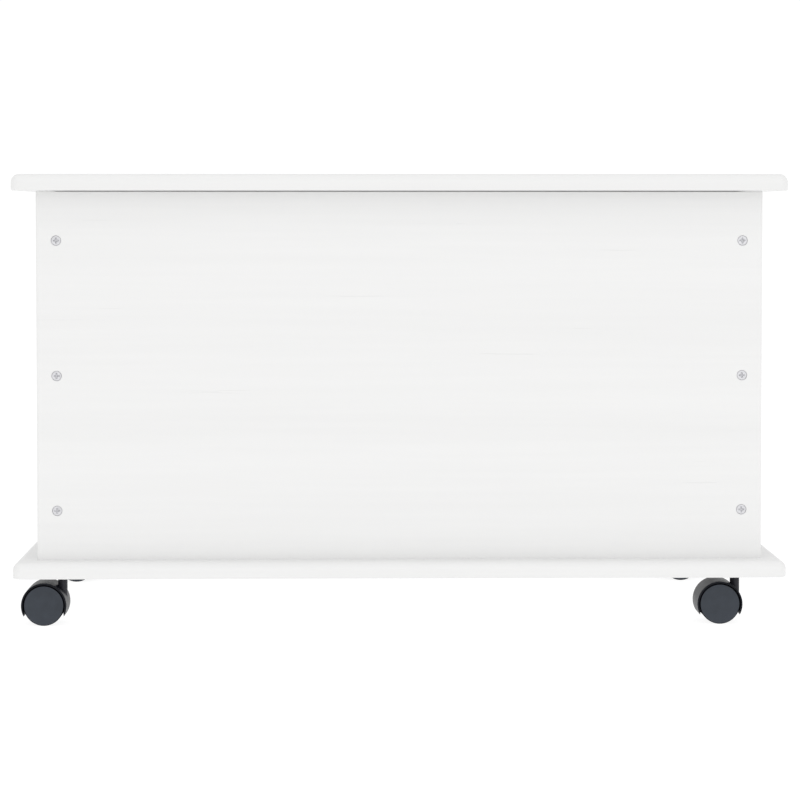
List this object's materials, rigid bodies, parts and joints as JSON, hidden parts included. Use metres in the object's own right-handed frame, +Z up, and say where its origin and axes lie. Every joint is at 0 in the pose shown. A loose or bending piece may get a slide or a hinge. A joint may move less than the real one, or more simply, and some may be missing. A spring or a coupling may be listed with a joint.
{
  "type": "wooden toy box",
  "caption": "White-painted solid wood toy chest with an overhanging hinged lid held by slotted stays, a matching overhanging base and hooded twin-wheel swivel casters.",
  "frame": {"origin": "on the floor at the middle of the footprint, which is the middle of the lid and base boards", "axes": "+X along the length to the right, +Y from the front panel to the back panel, +Z up"},
  "size_m": [0.74, 0.4, 0.436],
  "materials": {
    "painted_wood": "white satin paint over solid pine",
    "zinc_screw": "zinc plated",
    "zinc_hinge": "zinc plated",
    "stay_steel": "zinc plated",
    "pad": "soft matt",
    "hood_plastic": "satin dark grey",
    "wheel_plastic": "satin dark grey",
    "caster_steel": "bright",
    "socket_plastic": "matt grey"
  },
  "bodies": {
    "cabinet": {"base_board": "painted_wood", "front_panel": "painted_wood", "back_panel": "painted_wood", "left_side_panel": "painted_wood", "right_side_panel": "painted_wood", "front_panel_screws": "zinc_screw", "back_panel_screws": "zinc_screw", "base_screws": "zinc_screw", "lid_pads": "pad", "hinge_left_panel_leaf": "zinc_hinge", "hinge_left_pin": "zinc_hinge", "hinge_right_panel_leaf": "zinc_hinge", "hinge_right_pin": "zinc_hinge", "hinge_panel_screws": "zinc_screw", "stay_left_plate": "stay_steel", "stay_left_stud": "stay_steel", "stay_right_plate": "stay_steel", "stay_right_stud": "stay_steel", "stay_plate_screws": "zinc_screw", "caster_front_left_socket": "socket_plastic", "caster_front_left_stem": "caster_steel", "caster_front_right_socket": "socket_plastic", "caster_front_right_stem": "caster_steel", "caster_rear_left_socket": "socket_plastic", "caster_rear_left_stem": "caster_steel", "caster_rear_right_socket": "socket_plastic", "caster_rear_right_stem": "caster_steel"},
    "lid": {"lid_board": "painted_wood", "lid_batten_left": "painted_wood", "lid_batten_right": "painted_wood", "lid_batten_screws": "zinc_screw", "hinge_left_lid_leaf": "zinc_hinge", "hinge_right_lid_leaf": "zinc_hinge", "hinge_lid_screws": "zinc_screw", "stay_left_bracket": "stay_steel", "stay_left_rivet": "stay_steel", "stay_right_bracket": "stay_steel", "stay_right_rivet": "stay_steel", "stay_bracket_screws": "zinc_screw"},
    "stay_left": {"stay_left_arm": "stay_steel"},
    "stay_right": {"stay_right_arm": "stay_steel"},
    "caster_front_left": {"caster_front_left_hood": "hood_plastic", "caster_front_left_axle": "caster_steel"},
    "caster_front_left_wheel_front": {"caster_front_left_wheel_front": "wheel_plastic"},
    "caster_front_left_wheel_rear": {"caster_front_left_wheel_rear": "wheel_plastic"},
    "caster_front_right": {"caster_front_right_hood": "hood_plastic", "caster_front_right_axle": "caster_steel"},
    "caster_front_right_wheel_front": {"caster_front_right_wheel_front": "wheel_plastic"},
    "caster_front_right_wheel_rear": {"caster_front_right_wheel_rear": "wheel_plastic"},
    "caster_rear_left": {"caster_rear_left_hood": "hood_plastic", "caster_rear_left_axle": "caster_steel"},
    "caster_rear_left_wheel_front": {"caster_rear_left_wheel_front": "wheel_plastic"},
    "caster_rear_left_wheel_rear": {"caster_rear_left_wheel_rear": "wheel_plastic"},
    "caster_rear_right": {"caster_rear_right_hood": "hood_plastic", "caster_rear_right_axle": "caster_steel"},
    "caster_rear_right_wheel_front": {"caster_rear_right_wheel_front": "wheel_plastic"},
    "caster_rear_right_wheel_rear": {"caster_rear_right_wheel_rear": "wheel_plastic"}
  },
  "joints": [
    {"name": "lid_hinge", "type": "hinge", "parent": "cabinet", "child": "lid", "pos_m": [0, 0.1815, 0.417], "axis": [-1, 0, 0], "range_deg": [0, 95]},
    {"name": "stay_left_pivot", "type": "hinge", "parent": "lid", "child": "stay_left", "pos_m": [-0.3165, 0.04182, 0.4075], "axis": [-1, 0, 0], "range_deg": [-47.5, 0]},
    {"name": "stay_right_pivot", "type": "hinge", "parent": "lid", "child": "stay_right", "pos_m": [0.3165, 0.04182, 0.4075], "axis": [-1, 0, 0], "range_deg": [-47.5, 0]},
    {"name": "caster_front_left_swivel", "type": "hinge", "parent": "cabinet", "child": "caster_front_left", "pos_m": [-0.3275, -0.147, 0.045], "axis": [0, 0, 1], "continuous": true},
    {"name": "caster_front_left_roll_front", "type": "hinge", "parent": "caster_front_left", "child": "caster_front_left_wheel_front", "pos_m": [-0.3441, -0.147, 0.0194], "axis": [0, 1, 0], "continuous": true},
    {"name": "caster_front_left_roll_rear", "type": "hinge", "parent": "caster_front_left", "child": "caster_front_left_wheel_rear", "pos_m": [-0.3441, -0.147, 0.0194], "axis": [0, 1, 0], "continuous": true},
    {"name": "caster_front_right_swivel", "type": "hinge", "parent": "cabinet", "child": "caster_front_right", "pos_m": [0.3275, -0.147, 0.045], "axis": [0, 0, 1], "continuous": true},
    {"name": "caster_front_right_roll_front", "type": "hinge", "parent": "caster_front_right", "child": "caster_front_right_wheel_front", "pos_m": [0.3109, -0.147, 0.0194], "axis": [0, 1, 0], "continuous": true},
    {"name": "caster_front_right_roll_rear", "type": "hinge", "parent": "caster_front_right", "child": "caster_front_right_wheel_rear", "pos_m": [0.3109, -0.147, 0.0194], "axis": [0, 1, 0], "continuous": true},
    {"name": "caster_rear_left_swivel", "type": "hinge", "parent": "cabinet", "child": "caster_rear_left", "pos_m": [-0.3275, 0.147, 0.045], "axis": [0, 0, 1], "continuous": true},
    {"name": "caster_rear_left_roll_front", "type": "hinge", "parent": "caster_rear_left", "child": "caster_rear_left_wheel_front", "pos_m": [-0.3441, 0.147, 0.0194], "axis": [0, 1, 0], "continuous": true},
    {"name": "caster_rear_left_roll_rear", "type": "hinge", "parent": "caster_rear_left", "child": "caster_rear_left_wheel_rear", "pos_m": [-0.3441, 0.147, 0.0194], "axis": [0, 1, 0], "continuous": true},
    {"name": "caster_rear_right_swivel", "type": "hinge", "parent": "cabinet", "child": "caster_rear_right", "pos_m": [0.3275, 0.147, 0.045], "axis": [0, 0, 1], "continuous": true},
    {"name": "caster_rear_right_roll_front", "type": "hinge", "parent": "caster_rear_right", "child": "caster_rear_right_wheel_front", "pos_m": [0.3109, 0.147, 0.0194], "axis": [0, 1, 0], "continuous": true},
    {"name": "caster_rear_right_roll_rear", "type": "hinge", "parent": "caster_rear_right", "child": "caster_rear_right_wheel_rear", "pos_m": [0.3109, 0.147, 0.0194], "axis": [0, 1, 0], "continuous": true}
  ],
  "couplings": [
    {"joint": "stay_left_pivot", "follows": "lid_hinge", "ratio": -0.5},
    {"joint": "stay_right_pivot", "follows": "lid_hinge", "ratio": -0.5}
  ]
}
